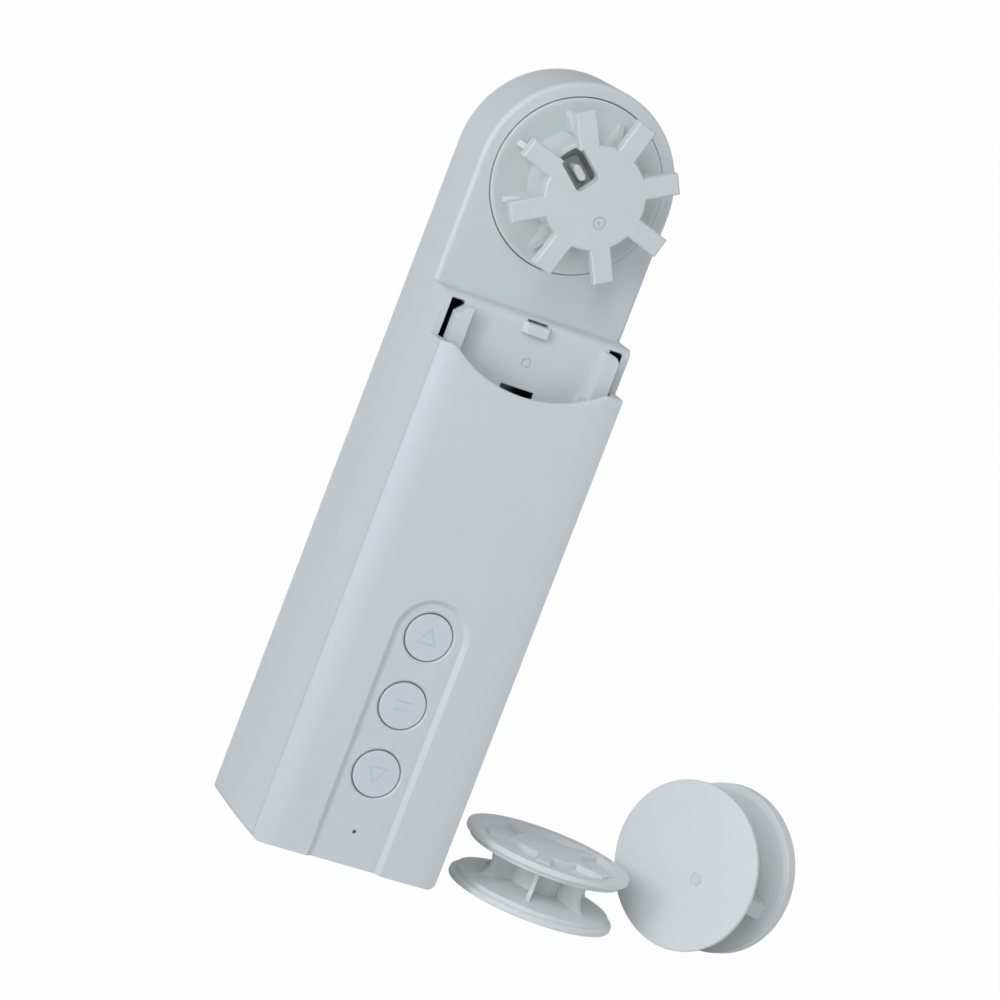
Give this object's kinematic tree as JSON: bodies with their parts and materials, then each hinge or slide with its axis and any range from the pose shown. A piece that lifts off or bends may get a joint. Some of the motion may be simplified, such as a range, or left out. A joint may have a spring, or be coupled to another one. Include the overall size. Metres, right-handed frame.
{
  "type": "roller blind motor",
  "caption": "Slim box-shaped chain drive for a roller blind, with a star-armed drive wheel, round push buttons and loose spare pulleys beside it.",
  "frame": {"origin": "centre of the body's flat bottom end, on the surface it stands on", "axes": "+Z along the body towards the drive wheel, +Y towards the wall, +X to the right seen from the front"},
  "size_m": [0.14, 0.0457, 0.1957],
  "materials": {
    "housing_plastic": "fine satin white",
    "wheel_plastic": "satin white",
    "button_plastic": "soft gloss white",
    "latch_plastic": "satin white",
    "gear_plastic": "natural acetal",
    "frame_plastic": "moulded black",
    "black_plastic": "moulded black",
    "circuit_board": "solder mask green",
    "steel": "ground",
    "can_metal": "plated",
    "bronze": "sintered",
    "magnet": "plated",
    "shield_metal": "tinned",
    "contact_metal": "plated",
    "cell_sleeve": "shrink sleeve",
    "lead_sleeve": "insulation",
    "lamp": "clear over white",
    "clear_plastic": "clear"
  },
  "bodies": {
    "housing": {"main_housing": "housing_plastic", "back_cover": "housing_plastic", "front_cover": "housing_plastic", "gear_frame": "frame_plastic", "idler_axle": "steel", "front_bush": "bronze", "rear_bush": "bronze", "position_board": "circuit_board", "reducer_can": "can_metal", "motor_can": "can_metal", "motor_end_cap": "black_plastic", "motor_screws": "steel", "main_board": "circuit_board", "tact_switches": "black_plastic", "status_led": "lamp", "light_pipe": "clear_plastic", "radio_module": "shield_metal", "charging_port": "shield_metal", "battery_cell_left": "cell_sleeve", "battery_cell_right": "cell_sleeve", "battery_cradle": "frame_plastic", "cell_contacts": "contact_metal", "motor_leads": "lead_sleeve", "battery_leads": "lead_sleeve", "housing_screws": "steel", "board_screws": "steel", "frame_screws": "steel"},
    "drive": {"drive_wheel": "wheel_plastic", "wheel_star": "wheel_plastic", "output_shaft": "gear_plastic", "output_gear": "gear_plastic", "position_magnet": "magnet"},
    "latch": {"wheel_latch": "latch_plastic"},
    "idler": {"compound_gear": "gear_plastic"},
    "motor": {"motor_shaft": "steel", "bevel_pinion": "bronze"},
    "up_key": {"up_button": "button_plastic", "up_switch_plunger": "black_plastic"},
    "stop_key": {"stop_button": "button_plastic", "stop_switch_plunger": "black_plastic"},
    "down_key": {"down_button": "button_plastic", "down_switch_plunger": "black_plastic"},
    "cord_pulley": {"cord_pulley_hub": "wheel_plastic", "cord_pulley_face": "wheel_plastic"},
    "disc_pulley": {"disc_pulley_hub": "wheel_plastic", "disc_pulley_face": "wheel_plastic"}
  },
  "joints": [
    {"name": "drive_spin", "type": "hinge", "parent": "housing", "child": "drive", "pos_m": [0, 0, 0.1707], "axis": [0, 1, 0], "continuous": true},
    {"name": "idler_spin", "type": "hinge", "parent": "housing", "child": "idler", "pos_m": [0, 0, 0.1467], "axis": [0, 1, 0], "continuous": true},
    {"name": "motor_spin", "type": "hinge", "parent": "housing", "child": "motor", "pos_m": [0, 0.006, 0.12], "axis": [0, 0, 1], "continuous": true},
    {"name": "latch_release", "type": "slide", "parent": "drive", "child": "latch", "axis": [-0.7716, 0, 0.6361], "range_m": [0, 0.0008], "stiffness_N_per_m": 600, "springref_m": -0.001},
    {"name": "up_press", "type": "slide", "parent": "housing", "child": "up_key", "axis": [0, 1, 0], "range_m": [0, 0.0004], "stiffness_N_per_m": 1500, "springref_m": -0.001},
    {"name": "stop_press", "type": "slide", "parent": "housing", "child": "stop_key", "axis": [0, 1, 0], "range_m": [0, 0.0004], "stiffness_N_per_m": 1500, "springref_m": -0.001},
    {"name": "down_press", "type": "slide", "parent": "housing", "child": "down_key", "axis": [0, 1, 0], "range_m": [0, 0.0004], "stiffness_N_per_m": 1500, "springref_m": -0.001},
    {"name": "cord_pulley_lift", "type": "slide", "parent": "housing", "child": "cord_pulley", "axis": [0, 0, 1], "range_m": [0, 0.03]},
    {"name": "disc_pulley_lift", "type": "slide", "parent": "housing", "child": "disc_pulley", "axis": [0, 0, 1], "range_m": [0, 0.03]}
  ],
  "couplings": [
    {"joint": "idler_spin", "follows": "drive_spin", "ratio": -3},
    {"joint": "motor_spin", "follows": "drive_spin", "ratio": -7}
  ]
}
